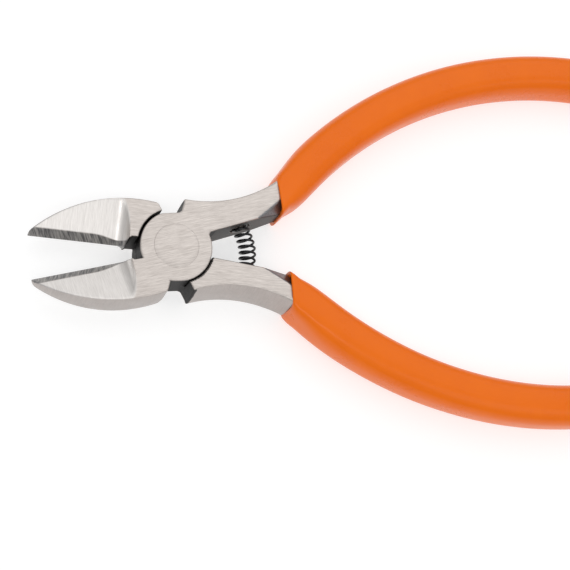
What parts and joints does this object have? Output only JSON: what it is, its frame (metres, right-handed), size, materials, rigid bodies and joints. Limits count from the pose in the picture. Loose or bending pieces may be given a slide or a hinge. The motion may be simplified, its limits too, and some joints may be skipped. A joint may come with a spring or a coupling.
{
  "type": "diagonal cutting pliers",
  "caption": "Lap-joint diagonal cutting pliers with bevelled jaws, a coil return spring and bowed handles in plastic grips.",
  "frame": {"origin": "on the rivet's axis, at the joint's flat back face", "axes": "+Z out of the front face along the rivet, -X to the jaws and +X to the handles along the line midway between the two halves, +Y towards the upper handle"},
  "size_m": [0.1396, 0.085, 0.0102],
  "materials": {
    "steel_front": "ground and brushed",
    "steel_back": "ground and brushed",
    "rivet": "ground flush",
    "spring": "black oxide wire",
    "grip_upper": "glossy",
    "grip_lower": "glossy"
  },
  "bodies": {
    "front": {"front_half": "steel_front", "pivot_rivet": "rivet", "upper_grip": "grip_upper", "return_spring": "spring"},
    "back": {"back_half": "steel_back", "lower_grip": "grip_lower"}
  },
  "joints": [
    {"name": "pivot", "type": "hinge", "parent": "front", "child": "back", "pos_m": [0, 0, 0], "axis": [0, 0, -1], "range_deg": [-17.7, 14], "stiffness_Nm_per_rad": 0.25, "deforming": ["return_spring"]}
  ]
}
